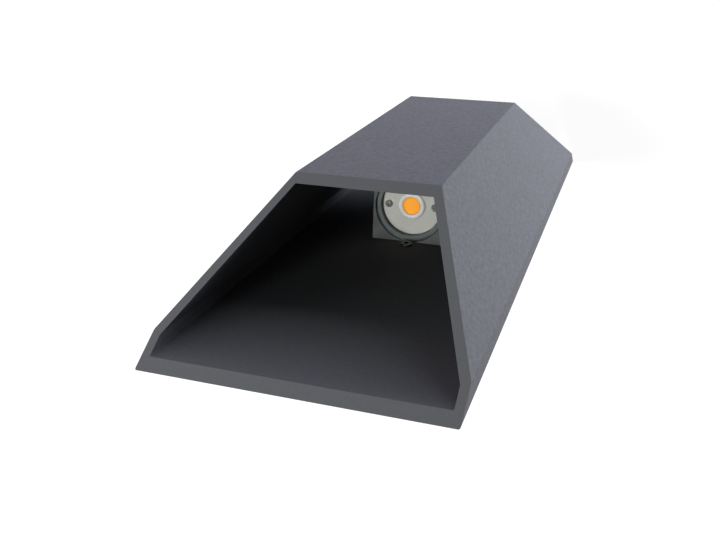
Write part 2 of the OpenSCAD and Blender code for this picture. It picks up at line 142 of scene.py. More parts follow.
def seenMask(tree):
    # 1 for what the camera, gloss and glass see, 0 for what lights the object
    path = tree.nodes.new("ShaderNodeLightPath")
    both = calc(tree, "MAXIMUM", path.outputs["Is Camera Ray"], path.outputs["Is Glossy Ray"])
    return calc(tree, "MAXIMUM", both, path.outputs["Is Transmission Ray"])


def buildStage():
    world = bpy.data.worlds.new("studio")
    bpy.context.scene.world = world
    world.use_nodes = True
    world.cycles.sampling_method = "NONE"  # the world is seen, but it lights almost nothing
    tree = world.node_tree
    tree.nodes.clear()
    white = (1, 1, 1, 1)
    ambient = addNode(tree, "ShaderNodeBackground", {"Color": white, "Strength": stageLook["ambient"]})
    seen = addNode(tree, "ShaderNodeBackground", {"Color": white, "Strength": 1.0})
    mix = addNode(tree, "ShaderNodeMixShader", {
        0: seenMask(tree), 1: ambient.outputs[0], 2: seen.outputs[0]})
    addNode(tree, "ShaderNodeOutputWorld", {"Surface": mix.outputs[0]})

    bm = bmesh.new()
    bmesh.ops.create_grid(bm, x_segments=1, y_segments=1, size=stageLook["floorSize"] / 2)
    level = cadBox[0][2] - stageLook["floorGap"] * mm
    floor = fromMeshCode("floor", bm, Matrix.Translation((0, 0, level)))
    look = bpy.data.materials.new("paleFloor")
    look.use_nodes = True
    look.cycles.emission_sampling = "NONE"  # only what looks at the floor sees its glow
    tree = look.node_tree
    tree.nodes.clear()
    grey = stageLook["floorColor"]
    matt = addNode(tree, "ShaderNodeBsdfDiffuse", {"Color": (grey, grey, grey, 1)})
    shine = calc(tree, "MULTIPLY", seenMask(tree), stageLook["floorGlow"])
    glow = addNode(tree, "ShaderNodeEmission", {"Strength": shine})
    both = addNode(tree, "ShaderNodeAddShader", {0: matt.outputs[0], 1: glow.outputs[0]})
    # from below the floor lets the view through
    below = tree.nodes.new("ShaderNodeNewGeometry").outputs["Backfacing"]
    clear = tree.nodes.new("ShaderNodeBsdfTransparent")
    shown = addNode(tree, "ShaderNodeMixShader", {0: below, 1: both.outputs[0], 2: clear.outputs[0]})
    addNode(tree, "ShaderNodeOutputMaterial", {"Surface": shown.outputs[0]})
    floor.data.materials.append(look)
    floor.visible_shadow = False  # the low lamps shine past it

    for name, (direction, distance, width, power, color) in lamps.items():
        light = bpy.data.lights.new(name, "AREA")
        light.shape = "SQUARE"
        light.size = width
        light.energy = power
        light.color = color
        # sampled as a lamp only, or the floor would hide part of the low ones
        light.cycles.use_multiple_importance_sampling = False
        lamp = newObject(name, light)
        away = Vector(direction).normalized()
        turn = away.to_track_quat("Z", "Y").to_matrix().to_4x4()
        lamp.matrix_world = Matrix.Translation(away * distance) @ turn


buildStage()
print("stage and camera set")


# shader groups that several materials share
def grainGroup():
    # rounded grains a little broader than the flecks on them, and broad clouds for the gloss
    tree = bpy.data.node_groups.new("sandGrain", "ShaderNodeTree")
    addSockets(tree, "INPUT", {"Float": ["Size", "Cloud Size"]})
    addSockets(tree, "OUTPUT", {"Float": ["Height", "Fleck", "Cloud"]})
    given = tree.nodes.new("NodeGroupInput")
    place = tree.nodes.new("ShaderNodeTexCoord").outputs["Object"]
    fine = calc(tree, "DIVIDE", 1 / mm, given.outputs["Size"])
    broad = calc(tree, "DIVIDE", 1 / mm, given.outputs["Cloud Size"])
    noise = addNode(tree, "ShaderNodeTexNoise", {
        "Vector": place, "Scale": fine, "Detail": 3.0, "Roughness": 0.6})
    cells = addNode(tree, "ShaderNodeTexVoronoi", {
        "Vector": place, "Scale": calc(tree, "MULTIPLY", fine, 0.8)}, feature="SMOOTH_F1")
    cloud = addNode(tree, "ShaderNodeTexNoise", {"Vector": place, "Scale": broad, "Detail": 2.0})
    height = calc(tree, "MULTIPLY_ADD", cells.outputs["Distance"], -0.5, noise.outputs[0])
    spread = {"From Min": 0.3, "From Max": 0.7}
    fleck = addNode(tree, "ShaderNodeMapRange", {"Value": noise.outputs[0], **spread})
    soft = addNode(tree, "ShaderNodeMapRange", {"Value": cloud.outputs[0], **spread})
    addNode(tree, "NodeGroupOutput", {
        "Height": height, "Fleck": fleck.outputs[0], "Cloud": soft.outputs[0]})
    return tree


def brushGroup():
    # fine lines along the stretch, and scuffed patches across them
    tree = bpy.data.node_groups.new("brushedLines", "ShaderNodeTree")
    addSockets(tree, "INPUT", {"Vector": ["Stretch"], "Float": ["Size"]})
    addSockets(tree, "OUTPUT", {"Float": ["Line", "Scuff"]})
    given = tree.nodes.new("NodeGroupInput")
    place = tree.nodes.new("ShaderNodeTexCoord").outputs["Object"]
    drawn = addNode(tree, "ShaderNodeVectorMath", {
        0: place, 1: given.outputs["Stretch"]}, operation="MULTIPLY")
    fine = calc(tree, "DIVIDE", 1 / mm, given.outputs["Size"])
    line = addNode(tree, "ShaderNodeTexNoise",
                   {"Vector": drawn.outputs[0], "Scale": fine, "Detail": 4.0, "Roughness": 0.7})
    scuff = addNode(tree, "ShaderNodeTexNoise",
                    {"Vector": place, "Scale": calc(tree, "MULTIPLY", fine, 0.06), "Detail": 5.0})
    sharp = addNode(tree, "ShaderNodeMapRange", {
        "Value": line.outputs[0], "From Min": 0.35, "From Max": 0.65})
    patch = addNode(tree, "ShaderNodeMapRange", {
        "Value": scuff.outputs[0], "From Min": 0.35, "From Max": 0.7})
    addNode(tree, "NodeGroupOutput", {"Line": sharp.outputs[0], "Scuff": patch.outputs[0]})
    return tree


sandGrain = grainGroup()
brushedLines = brushGroup()
looks = {}


def startLook(name, **shader):
    look = bpy.data.materials.new(name)
    look.use_nodes = True
    tree = look.node_tree
    skin = tree.nodes["Principled BSDF"]
    for label, value in shader.items():
        skin.inputs[label.replace("_", " ")].default_value = value
    looks[name] = look
    return tree, skin


def blendColors(tree, mask, dark, light):
    mix = addNode(tree, "ShaderNodeMix", {0: mask, 6: (*dark, 1), 7: (*light, 1)}, data_type="RGBA")
    return mix.outputs[2]


def spreadValue(tree, mask, low, high):
    return addNode(tree, "ShaderNodeMapRange", {"Value": mask, "To Min": low, "To Max": high}).outputs[0]


def grainNode(tree, grain, cloud):
    return addNode(tree, "ShaderNodeGroup", {
        "Size": grain, "Cloud Size": cloud}, node_tree=sandGrain).outputs


def addBump(tree, skin, height, depth):
    bump = addNode(tree, "ShaderNodeBump", {"Height": height, "Distance": depth, "Strength": 1.0})
    tree.links.new(bump.outputs[0], skin.inputs["Normal"])


# grained finishes: the coat, paints, rubbers, plastics and the solder mask
grained = {
    # name: dark colour, light colour, grain mm, cloud mm, bump mm, roughness low and high, specular
    "powderCoat": ((0.101, 0.104, 0.117), (0.146, 0.149, 0.169), 1.9, 30, 0.03, 0.68, 0.72, 0.05),
    # the tube's inside: a smoother coat, its tone a little darker as painted shade inside the tube
    "insideCoat": ((0.105, 0.108, 0.117), (0.120, 0.123, 0.133), 1.6, 30, 0.01, 0.68, 0.72, 0.03),
    # the cut ends: a smoother coat, its tone a little lighter as painted light on the ends
    "cutCoat": ((0.124, 0.128, 0.138), (0.136, 0.140, 0.152), 1.2, 30, 0.01, 0.68, 0.72, 0.05),
    "seatSilicone": ((0.037, 0.050, 0.053), (0.047, 0.062, 0.066), 0.9, 9, 0.01, 0.30, 0.42),
    "plateMask": ((0.52, 0.502, 0.460), (0.58, 0.560, 0.518), 0.5, 12, 0.006, 0.42, 0.52),
    "ringWhite": ((0.80, 0.755, 0.725), (0.86, 0.815, 0.785), 0.8, 6, 0.004, 0.30, 0.40),
    "gapPad": ((0.26, 0.27, 0.29), (0.33, 0.34, 0.36), 0.4, 8, 0.03, 0.75, 0.85),
    "blackRubber": ((0.012, 0.012, 0.013), (0.022, 0.022, 0.024), 0.5, 8, 0.02, 0.55, 0.70),
    "whitePlastic": ((0.66, 0.66, 0.62), (0.72, 0.72, 0.68), 0.7, 14, 0.012, 0.38, 0.48),
    "boardGreen": ((0.020, 0.110, 0.040), (0.030, 0.150, 0.055), 0.8, 5, 0.01, 0.25, 0.35),
    "ferrite": ((0.030, 0.030, 0.033), (0.050, 0.050, 0.055), 0.35, 6, 0.03, 0.60, 0.75),
    "blueSleeve": ((0.015, 0.040, 0.120), (0.022, 0.055, 0.160), 1.2, 6, 0.01, 0.22, 0.32),
    "foamTape": ((0.55, 0.55, 0.50), (0.66, 0.66, 0.61), 0.35, 8, 0.08, 0.85, 0.95),
    "blackSteel": ((0.005, 0.006, 0.006), (0.011, 0.012, 0.012), 0.3, 4, 0.008, 0.30, 0.42, 0.45),
}


def grainedLook(name, dark, light, grain, cloud, depth, glossy, matt, specular=0.5):
    tree, skin = startLook(name, Specular_IOR_Level=specular)
    sand = grainNode(tree, grain, cloud)
    # mostly fine flecks, with a little of the broad clouds
    mask = calc(tree, "MULTIPLY_ADD", sand["Fleck"], 0.85, calc(tree, "MULTIPLY", sand["Cloud"], 0.15))
    tree.links.new(blendColors(tree, mask, dark, light), skin.inputs["Base Color"])
    tree.links.new(spreadValue(tree, sand["Cloud"], glossy, matt), skin.inputs["Roughness"])
    addBump(tree, skin, sand["Height"], depth * mm)


for name, values in grained.items():
    grainedLook(name, *values)

# metals with drawn or tumbled lines
evenly = (1.0, 1.0, 1.0)
metals = {
    # name: dark colour, light colour, stretch of the lines, line mm, bump mm,
    # roughness low and high, metallic
    "boxPaint": ((0.048, 0.051, 0.050), (0.079, 0.083, 0.082), evenly, 0.35, 0.010, 0.34, 0.5, 0.35),
    "bracketZinc": ((0.42, 0.43, 0.44), (0.58, 0.59, 0.60), (1.0, 1.0, 0.03), 0.25, 0.006,
                    0.28, 0.44, 1.0),
    "brightZinc": ((0.50, 0.50, 0.51), (0.64, 0.64, 0.64), evenly, 0.30, 0.004, 0.22, 0.36, 1.0),
    "dullNickel": ((0.14, 0.15, 0.13), (0.25, 0.26, 0.235), evenly, 0.25, 0.004, 0.58, 0.7, 0.2),
    "brass": ((0.55, 0.38, 0.13), (0.68, 0.48, 0.18), (1.0, 1.0, 0.2), 0.20, 0.004, 0.24, 0.38, 1.0),
}


def metalLook(name, dark, light, stretch, line, depth, glossy, matt, metallic):
    tree, skin = startLook(name, Metallic=metallic)
    group = addNode(tree, "ShaderNodeGroup", {"Stretch": stretch, "Size": line}, node_tree=brushedLines)
    # a little more of the lines than of the scuffs
    mask = calc(tree, "MULTIPLY_ADD", group.outputs["Line"], 0.6,
                calc(tree, "MULTIPLY", group.outputs["Scuff"], 0.4))
    tree.links.new(blendColors(tree, mask, dark, light), skin.inputs["Base Color"])
    tree.links.new(spreadValue(tree, group.outputs["Scuff"], glossy, matt), skin.inputs["Roughness"])
    addBump(tree, skin, group.outputs["Line"], depth * mm)


for name, values in metals.items():
    metalLook(name, *values)

# the phosphor carries a painted glow that lights it brighter than the lamps do, with fine grains in its
# gel
phosphorGel = {
    "dark": (0.98, 0.34, 0.008),
    "light": (1.0, 0.38, 0.014),
    "glow": 0.34,
    "roughness": 0.45,
    "specular": 0.25,
    "grain": 0.25,
    "cloud": 5,
    "bump": 0.01,
}


def phosphorLook(gel):
    # its emission is a painted glow, not a lit lamp
    tree, skin = startLook("phosphor", Roughness=gel["roughness"], Specular_IOR_Level=gel["specular"],
                           Emission_Strength=gel["glow"])
    sand = grainNode(tree, gel["grain"], gel["cloud"])
    color = blendColors(tree, sand["Cloud"], gel["dark"], gel["light"])
    tree.links.new(color, skin.inputs["Base Color"])
    tree.links.new(color, skin.inputs["Emission Color"])
    addBump(tree, skin, sand["Fleck"], gel["bump"] * mm)


# clear glass: coated so that it mirrors little, faint green edge, a few specks that roughen it
paneGlass = {
    "dark": (0.965, 0.98, 0.975),
    "light": (0.98, 0.99, 0.987),
    "index": 1.45,
    "specular": 0.25,
    "haze": 0.03,
    "grain": 1.5,
    "cloud": 14,
}


def glassLook(pane):
    tree, skin = startLook("clearGlass", Transmission_Weight=1.0, IOR=pane["index"],
                           Specular_IOR_Level=pane["specular"])
    sand = grainNode(tree, pane["grain"], pane["cloud"])
    color = blendColors(tree, sand["Cloud"], pane["dark"], pane["light"])
    tree.links.new(color, skin.inputs["Base Color"])
    tree.links.new(spreadValue(tree, sand["Fleck"], 0.0, pane["haze"]), skin.inputs["Roughness"])


# lead sleeves: one colour on each side, or both in stripes
sleeves = {
    # name: colour where x is negative, colour where x is positive
    "lampSleeve": ((0.30, 0.012, 0.010), (0.012, 0.012, 0.013)),
    "supplySleeve": ((0.090, 0.032, 0.012), (0.012, 0.060, 0.260)),
    "earthSleeve": ((0.060, 0.250, 0.020), (0.520, 0.480, 0.030)),
}
sleeveFinish = {"grain": 0.5, "cloud": 30, "bump": 0.01, "glossy": 0.30, "matt": 0.42,
                "stripe": 2.4, "stripeCut": 0.3}


def sleeveLook(name, left, right):
    tree, skin = startLook(name)
    place = tree.nodes.new("ShaderNodeTexCoord").outputs["Object"]
    across = addNode(tree, "ShaderNodeSeparateXYZ", {0: place})
    mask = calc(tree, "GREATER_THAN", across.outputs["X"], 0.0)
    if name == "earthSleeve":  # green and yellow stripes along the lead
        stripes = calc(tree, "MULTIPLY", across.outputs["Z"], 2 * math.pi / (sleeveFinish["stripe"] * mm))
        mask = calc(tree, "GREATER_THAN", calc(tree, "SINE", stripes), sleeveFinish["stripeCut"])
    sand = grainNode(tree, sleeveFinish["grain"], sleeveFinish["cloud"])
    gloss = spreadValue(tree, sand["Cloud"], sleeveFinish["glossy"], sleeveFinish["matt"])
    tree.links.new(blendColors(tree, mask, left, right), skin.inputs["Base Color"])
    tree.links.new(gloss, skin.inputs["Roughness"])
    addBump(tree, skin, sand["Height"], sleeveFinish["bump"] * mm)


phosphorLook(phosphorGel)
glassLook(paneGlass)
for name, values in sleeves.items():
    sleeveLook(name, *values)
print("materials made:", len(looks))


# pieces: meshes, geometry trees and how they join the frame
sharpAngle = 35  # degrees, past which an edge stays sharp
past = 1.0  # how far a drill runs beyond the faces that it goes through
bite = 0.5  # how far a boss or a mouth runs beyond the face that it meets


def settle(thing):
    # turns what the modifiers give into the object's own plain mesh
    graph = bpy.context.evaluated_depsgraph_get()
    graph.update()
    mesh = bpy.data.meshes.new_from_object(thing.evaluated_get(graph))
    mesh.name = thing.name
    thing.modifiers.clear()
    thing.data = mesh
    return thing


def roundEdges(thing, width, segments=3, angle=20):
    bevel = thing.modifiers.new("edges", "BEVEL")
    bevel.width = width * mm
    bevel.segments = segments
    bevel.limit_method = "ANGLE"
    bevel.angle_limit = math.radians(angle)
    return settle(thing)


def smooth(thing):
    thing.data.shade_smooth()
    thing.data.set_sharp_from_angle(angle=math.radians(sharpAngle))
    weight = thing.modifiers.new("normals", "WEIGHTED_NORMAL")
    weight.keep_sharp = True
    return settle(thing)


def combine(thing, others, operation, crossing=False):
    # one closed solid, with others joined to it or cut away; crossing where it meets itself
    for other in others:
        step = thing.modifiers.new("combine", "BOOLEAN")
        step.operation = operation
        step.solver = "EXACT"
        step.use_self = crossing
        step.object = other
    settle(thing)
    for other in others:
        bpy.data.objects.remove(other)
    return thing


def cutAway(thing, cutters):
    return combine(thing, cutters, "DIFFERENCE")


def finishPiece(thing, look, nodes, body=root):
    if look:  # otherwise its faces keep what they have
        thing.data.materials.clear()
        thing.data.materials.append(looks[look])
    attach(thing, body)
    if nodes:
        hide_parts(*nodes)
    return thing


# a solid turned round an axis, from (radius, height) points that start and end on it, or that
# close into a ring beside it
def turned(name, profile, turn=Matrix(), steps=96):
    bm = bmesh.new()
    rings = []
    angles = [2 * math.pi * k / steps for k in range(steps)]
    for radius, height in profile:
        spots = [(radius * mm * math.cos(angle), radius * mm * math.sin(angle), height * mm)
                 for angle in angles]
        rings.append([bm.verts.new(spot) for spot in (spots if radius else spots[:1])])
    for low, high in zip(rings, rings[1:] if profile[0][0] == 0 else rings[1:] + rings[:1]):
        for k in range(steps):
            corners = [low[k % len(low)], low[(k + 1) % len(low)],
                       high[(k + 1) % len(high)], high[k % len(high)]]
            bm.faces.new(dict.fromkeys(corners))  # three corners at the axis
    bmesh.ops.recalc_face_normals(bm, faces=bm.faces)
    return fromMeshCode(name, bm, turn)


def rod(diameter, low, high, tip=0.0):
    # the outline of a plain round bar, or of a drill with a tip beyond its high end
    return [(0, low), (diameter / 2, low), (diameter / 2, high), (0, high + tip)]


# rounds the corners of a (radius, height) outline; points on the axis stay sharp, and a corner takes
# at most that share of a side
def rounded(points, radius, steps=4, closed=False, most=0.45):
    out = []
    last = len(points) - 1
    for i, point in enumerate(points):
        here = Vector(point)
        if not closed and i in (0, last):
            out.append(tuple(point))
            continue
        before = Vector(points[i - 1]) - here
        after = Vector(points[(i + 1) % len(points)]) - here
        reach = min(radius, before.length * most, after.length * most)
        start = here + before.normalized() * reach
        end = here + after.normalized() * reach
        for k in range(steps + 1):
            t = k / steps
            spot = start * (1 - t) ** 2 + here * 2 * t * (1 - t) + end * t ** 2
            out.append((spot.x, spot.y))
    return out


def towardsEnd(side, x=0.0, depth=0.0):
    # upright for the upper end or turned over for the lower, at a depth from the wall in millimetres
    turn = Matrix.Rotation(math.radians(0 if side > 0 else 180), 4, "X")
    return Matrix.Translation((x * mm, -depth * mm, 0)) @ turn


def outOfWall(x=0.0, z=0.0):
    # turns +Z to point out of the wall
    return Matrix.Translation((x * mm, 0, z * mm)) @ Matrix.Rotation(math.radians(90), 4, "X")


def block(name, low, high, flare=0.0):
    # a box from corner to corner in millimetres; flare widens its side towards the wall
    bm = bmesh.new()
    bmesh.ops.create_cube(bm, size=1)
    for vert in bm.verts:
        wide = flare if vert.co.y > 0 else 0.0
        vert.co = Vector([(low[i] + (high[i] - low[i]) * (vert.co[i] + 0.5)) for i in range(3)])
        vert.co.x += math.copysign(wide, vert.co.x - (low[0] + high[0]) / 2)
    return fromMeshCode(name, bm, Matrix.Scale(mm, 4))


# geometry trees
def startTree(name, inputs):
    tree = bpy.data.node_groups.new(name, "GeometryNodeTree")
    addSockets(tree, "INPUT", {"Geometry": ["Geometry"], "Material": ["Finish"]})
    addSockets(tree, "INPUT", inputs)
    addSockets(tree, "OUTPUT", {"Geometry": ["Geometry"]})
    return tree, tree.nodes.new("NodeGroupInput").outputs


def endTree(tree, geometry, given, **masks):
    # plain mesh with its finish, and with a finish of its own where a mask says so
    real = addNode(tree, "GeometryNodeRealizeInstances", {0: geometry})
    dressed = addNode(tree, "GeometryNodeSetMaterial", {0: real.outputs[0], "Material": given["Finish"]})
    for name, mask in masks.items():
        dressed = addNode(tree, "GeometryNodeSetMaterial", {
            0: dressed.outputs[0], "Selection": mask, "Material": given[name + " Finish"]})
    addNode(tree, "NodeGroupOutput", {0: dressed.outputs[0]})
    return tree


def grow(name, tree, values, start=None):
    # runs a geometry tree once and keeps its result as plain mesh
    thing = newObject(name, start or bpy.data.meshes.new(name))
    modifier = thing.modifiers.new("grow", "NODES")
    modifier.node_group = tree
    for item in tree.interface.items_tree:
        if item.item_type == "SOCKET" and item.in_out == "INPUT" and item.name in values:
            modifier[item.identifier] = values[item.name]
    return settle(thing)


def pick(tree, mask, low, high):
    # low where the mask is 0, high where it is 1
    return calc(tree, "MULTIPLY_ADD", mask, calc(tree, "SUBTRACT", high, low), low)


def slantedTubeTree():
    # a thick-walled tube of six sides, cut by two slants: swept round its section at unit size, then
    # each corner is put in its place
    tree, given = startTree("slantedTube", {
        "Float": ["Half Back", "Half Face", "Inner Half Face", "Back Depth", "Band Depth",
                  "Inner Band Depth", "Face Depth", "Wall", "Half Length", "End Slope"],
        "Material": ["Cut Finish", "Inside Finish"]})
    section = addNode(tree, "GeometryNodeCurvePrimitiveCircle", {"Resolution": 6, "Radius": 1.0})
    wall = addNode(tree, "GeometryNodeCurvePrimitiveQuadrilateral", {"Width": 0.2, "Height": 0.2})
    swept = addNode(tree, "GeometryNodeCurveToMesh", {0: section.outputs[0], 1: wall.outputs[0]})
    spot = tree.nodes.new("GeometryNodeInputPosition").outputs[0]
    x, y, z = addNode(tree, "ShaderNodeSeparateXYZ", {0: spot}).outputs
    flat = addNode(tree, "ShaderNodeCombineXYZ", {0: x, 1: y})
    fromAxis = addNode(tree, "ShaderNodeVectorMath", {0: flat.outputs[0]}, operation="LENGTH")
    radius = fromAxis.outputs["Value"]
    inner = calc(tree, "LESS_THAN", radius, 1.0)
    marked = tree.nodes.new("GeometryNodeCaptureAttribute")
    marked.domain = "FACE"
    tree.links.new(swept.outputs[0], marked.inputs["Geometry"])
    # the middles of the cut ends' faces lie inside the first radius, and those of the inner faces
    # inside both, so the inner finish is set last
    for name, reach in (("Cut", 0.91), ("Inside", 0.82)):
        marked.capture_items.new("BOOLEAN", name)
        tree.links.new(calc(tree, "LESS_THAN", radius, reach), marked.inputs[name])
    front = calc(tree, "LESS_THAN", y, -0.5)
    back = calc(tree, "GREATER_THAN", y, 0.5)
    innerHalfBack = calc(tree, "SUBTRACT", given["Half Back"], given["Wall"])
    innerBack = calc(tree, "ADD", given["Back Depth"], given["Wall"])
    innerFace = calc(tree, "SUBTRACT", given["Face Depth"], given["Wall"])
    wide = pick(tree, front, pick(tree, inner, given["Half Back"], innerHalfBack),
                pick(tree, inner, given["Half Face"], given["Inner Half Face"]))
    band = pick(tree, inner, given["Band Depth"], given["Inner Band Depth"])
    depth = pick(tree, front, band, pick(tree, inner, given["Face Depth"], innerFace))
    depth = pick(tree, back, depth, pick(tree, inner, given["Back Depth"], innerBack))
    drop = calc(tree, "MULTIPLY", calc(tree, "SUBTRACT", depth, given["Back Depth"]), given["End Slope"])
    length = calc(tree, "SUBTRACT", given["Half Length"], drop)
    place = addNode(tree, "ShaderNodeCombineXYZ", {
        0: calc(tree, "MULTIPLY", calc(tree, "SIGN", x), wide),
        1: calc(tree, "MULTIPLY", depth, -1.0),
        2: calc(tree, "MULTIPLY", calc(tree, "SIGN", z), length)})
    placed = addNode(tree, "GeometryNodeSetPosition", {
        "Geometry": marked.outputs["Geometry"], "Position": place.outputs[0]})
    return endTree(tree, placed.outputs[0], given,
                   Cut=marked.outputs["Cut"], Inside=marked.outputs["Inside"])


def copiesTree():
    # copies of one part in rows and columns on the wall's plane, round a middle place
    tree, given = startTree("rowsOfCopies", {
        "Object": ["Part"], "Vector": ["Middle"], "Int": ["Columns", "Rows"],
        "Float": ["Column Pitch", "Row Pitch"]})
    index = addNode(tree, "GeometryNodeInputIndex").outputs[0]
    column = calc(tree, "MODULO", index, given["Columns"])
    row = calc(tree, "FLOOR", calc(tree, "DIVIDE", index, given["Columns"]))
    offsets = []
    for order, name in ((column, "Column"), (row, "Row")):
        middle = calc(tree, "MULTIPLY", calc(tree, "SUBTRACT", given[name + "s"], 1.0), 0.5)
        fromMiddle = calc(tree, "SUBTRACT", order, middle)
        offsets.append(calc(tree, "MULTIPLY", fromMiddle, given[name + " Pitch"]))
    spot = addNode(tree, "ShaderNodeCombineXYZ", {0: offsets[0], 2: offsets[1]})
    place = addNode(tree, "ShaderNodeVectorMath", {
        0: spot.outputs[0], 1: given["Middle"]}, operation="ADD")
    points = addNode(tree, "GeometryNodePoints", {
        "Count": calc(tree, "MULTIPLY", given["Columns"], given["Rows"]), "Position": place.outputs[0]})
    part = addNode(tree, "GeometryNodeObjectInfo", {"Object": given["Part"]})
    copies = addNode(tree, "GeometryNodeInstanceOnPoints", {
        0: points.outputs[0], "Instance": part.outputs["Geometry"]})
    return endTree(tree, copies.outputs[0], given)


def leadTree():
    # a round sleeve along a chain of edges
    tree, given = startTree("leadSleeve", {"Float": ["Diameter"], "Int": ["Sides"]})
    path = addNode(tree, "GeometryNodeMeshToCurve", {0: given["Geometry"]})
    ring = addNode(tree, "GeometryNodeCurvePrimitiveCircle", {
        "Resolution": given["Sides"], "Radius": calc(tree, "MULTIPLY", given["Diameter"], 0.5)})
    sleeve = addNode(tree, "GeometryNodeCurveToMesh",
                     {0: path.outputs[0], 1: ring.outputs[0], "Fill Caps": True})
    soft = addNode(tree, "GeometryNodeSetShadeSmooth", {0: sleeve.outputs[0], "Shade Smooth": True})
    return endTree(tree, soft.outputs[0], given)


slantedTube = slantedTubeTree()
rowsOfCopies = copiesTree()
leadSleeve = leadTree()


def copyPart(name, part, look, middle, columns, rows, columnPitch, rowPitch=0.0):
    made = grow(name, rowsOfCopies, {
        "Part": part, "Middle": tuple(value * mm for value in middle), "Columns": columns, "Rows": rows,
        "Column Pitch": columnPitch * mm, "Row Pitch": rowPitch * mm, "Finish": looks[look]})
    bpy.data.objects.remove(part)
    return made


def bendRoute(a, b, c, d, steps):
    # points on a smooth curve that leaves a towards b and reaches d from c
    points = []
    for i in range(steps + 1):
        t = i / steps
        s = 1 - t
        spot = Vector(a) * s ** 3 + Vector(b) * 3 * s * s * t
        points.append(spot + Vector(c) * 3 * s * t * t + Vector(d) * t ** 3)
    return points


def leads(name, routes, diameter, look):
    mesh = bpy.data.meshes.new(name)
    points = []
    edges = []
    for route in routes:
        first = len(points)
        points += [Vector(point) * mm for point in route]
        edges += [(first + i, first + i + 1) for i in range(len(route) - 1)]
    mesh.from_pydata(points, edges, [])
    values = {"Diameter": diameter * mm, "Sides": 20, "Finish": looks[look]}
    return grow(name, leadSleeve, values, mesh)


# shade: the tapered tube, its edges eased, its back drilled
shadeSizes = {
    "halfBack": 60.0,
    "halfFace": 31.0,
    "halfLength": 172.0,
    "halfFaceLength": 87.0,
    "back": 2.5,
    "band": 11.9,
    "face": 56.5,
    "wall": 3.4,
    "rimEasing": 0.45,
    "foldOutside": 0.7,
    "foldInside": 0.35,
    "cableHole": 11.0,
    "fixingHole": 4.5,
    "fixingSpan": 52.4,
    "boxHole": 3.5,
    "boxSink": 5.64,
    "boxColumns": 25.0,
    "boxRows": 17.8,
}


def turnOutward(thing):
    # closes the seams, then lets all the faces look out of the solid
    bm = bmesh.new()
    bm.from_mesh(thing.data)
    bmesh.ops.remove_doubles(bm, verts=bm.verts, dist=1e-7)
    bmesh.ops.recalc_face_normals(bm, faces=bm.faces)
    if bm.calc_volume(signed=True) < 0:
        bmesh.ops.reverse_faces(bm, faces=bm.faces)
    bm.to_mesh(thing.data)
    bm.free()


def roundFolds(tube, outside, inside):
    # each long edge is eased by what its fold's radius takes at that angle
    bm = bmesh.new()
    bm.from_mesh(tube.data)
    weight = bm.edges.layers.float.new("bevel_weight_edge")
    for edge in bm.edges:
        if edge.verts[0].co.z * edge.verts[1].co.z < 0:
            angle = edge.calc_face_angle_signed()
            edge[weight] = math.tan(abs(angle) / 2) * (outside if angle > 0 else inside) / outside
    bm.to_mesh(tube.data)
    bm.free()
    fold = tube.modifiers.new("folds", "BEVEL")
    fold.width = outside * mm
    fold.segments = 5
    fold.limit_method = "WEIGHT"
    settle(tube)


def buildShade(size):
    lean = math.atan2(size["halfBack"] - size["halfFace"], size["face"] - size["band"])
    innerBand = size["band"] - size["wall"] * math.tan(lean / 2)
    innerHalfFace = size["halfFace"] - size["wall"] * math.tan((math.pi / 2 - lean) / 2)
    slope = (size["halfLength"] - size["halfFaceLength"]) / (size["face"] - size["back"])
    # the inside and the cut ends take darker and lighter copies of the coat: painted shade inside the
    # tube, painted light on the ends
    tube = grow("shadeTube", slantedTube, {
        "Half Back": size["halfBack"] * mm, "Half Face": size["halfFace"] * mm,
        "Inner Half Face": innerHalfFace * mm, "Back Depth": size["back"] * mm,
        "Band Depth": size["band"] * mm, "Inner Band Depth": innerBand * mm,
        "Face Depth": size["face"] * mm, "Wall": size["wall"] * mm,
        "Half Length": size["halfLength"] * mm, "End Slope": slope, "Finish": looks["powderCoat"],
        "Cut Finish": looks["cutCoat"], "Inside Finish": looks["insideCoat"]})
    turnOutward(tube)
    roundFolds(tube, size["foldOutside"], size["foldInside"])
    roundEdges(tube, size["rimEasing"])
    low = size["back"] - past
    high = size["back"] + size["wall"] + past
    cutters = []
    half = size["fixingSpan"] / 2
    for diameter, z in ((size["cableHole"], 0), (size["fixingHole"], half), (size["fixingHole"], -half)):
        cutters.append(turned("drill", rod(diameter, low, high), outOfWall(0, z), 64))
    sink = (size["boxSink"] - size["boxHole"]) / 2
    drill = [(0, low), (size["boxSink"] / 2, low), (size["boxSink"] / 2, size["back"]),
             (size["boxHole"] / 2, size["back"] + sink), (size["boxHole"] / 2, high), (0, high)]
    part = turned("boxDrill", drill, outOfWall(), 48)
    cutters.append(copyPart("boxDrills", part, "powderCoat", (0, 0, 0), 2, 2,
                            size["boxColumns"], size["boxRows"]))
    cutAway(tube, cutters)
    return finishPiece(smooth(tube), None, ["shade"])


buildShade(shadeSizes)
print("shade built")

# light box: its drafted housing, with the pockets for the lights and the room behind
boxSizes = {
    "halfLength": 22.0,
    "back": 5.9,
    "front": 41.9,
    "halfBack": 19.0,
    "draft": 1.0,
    "easing": 0.45,
    "axis": 23.5,
    "pocket": 34.2,
    "seat": 19.2,
    "platePocket": 29.7,
    "padSeat": 14.9,
    "chamfer": 0.3,
    "room": (15.5, 38.9, 11.9),  # half its width, its depth, half its length
    "boss": (shadeSizes["boxColumns"] / 2, shadeSizes["boxRows"] / 2, 6.0, 14.8),  # x, z, across, its end
    "earthBoss": (-12.5, 14.6, 22.6),  # x, its face, its end
    "screwHole": 2.04,
    "screwSpan": 23.2,
    "leadHole": 7.0,
    "leadOffset": 10.725,
    "groove": (17.25, 13.5, 1.2, 1.0),  # half x, half z, wide, deep
    "sealSlack": 0.1,
    "sealEasing": 0.25,
    "boxThread": 3.04,
    "boxThreadDeep": 6.9,
    "earthThreadDeep": 6.0,
    "drillTip": 0.8,
}


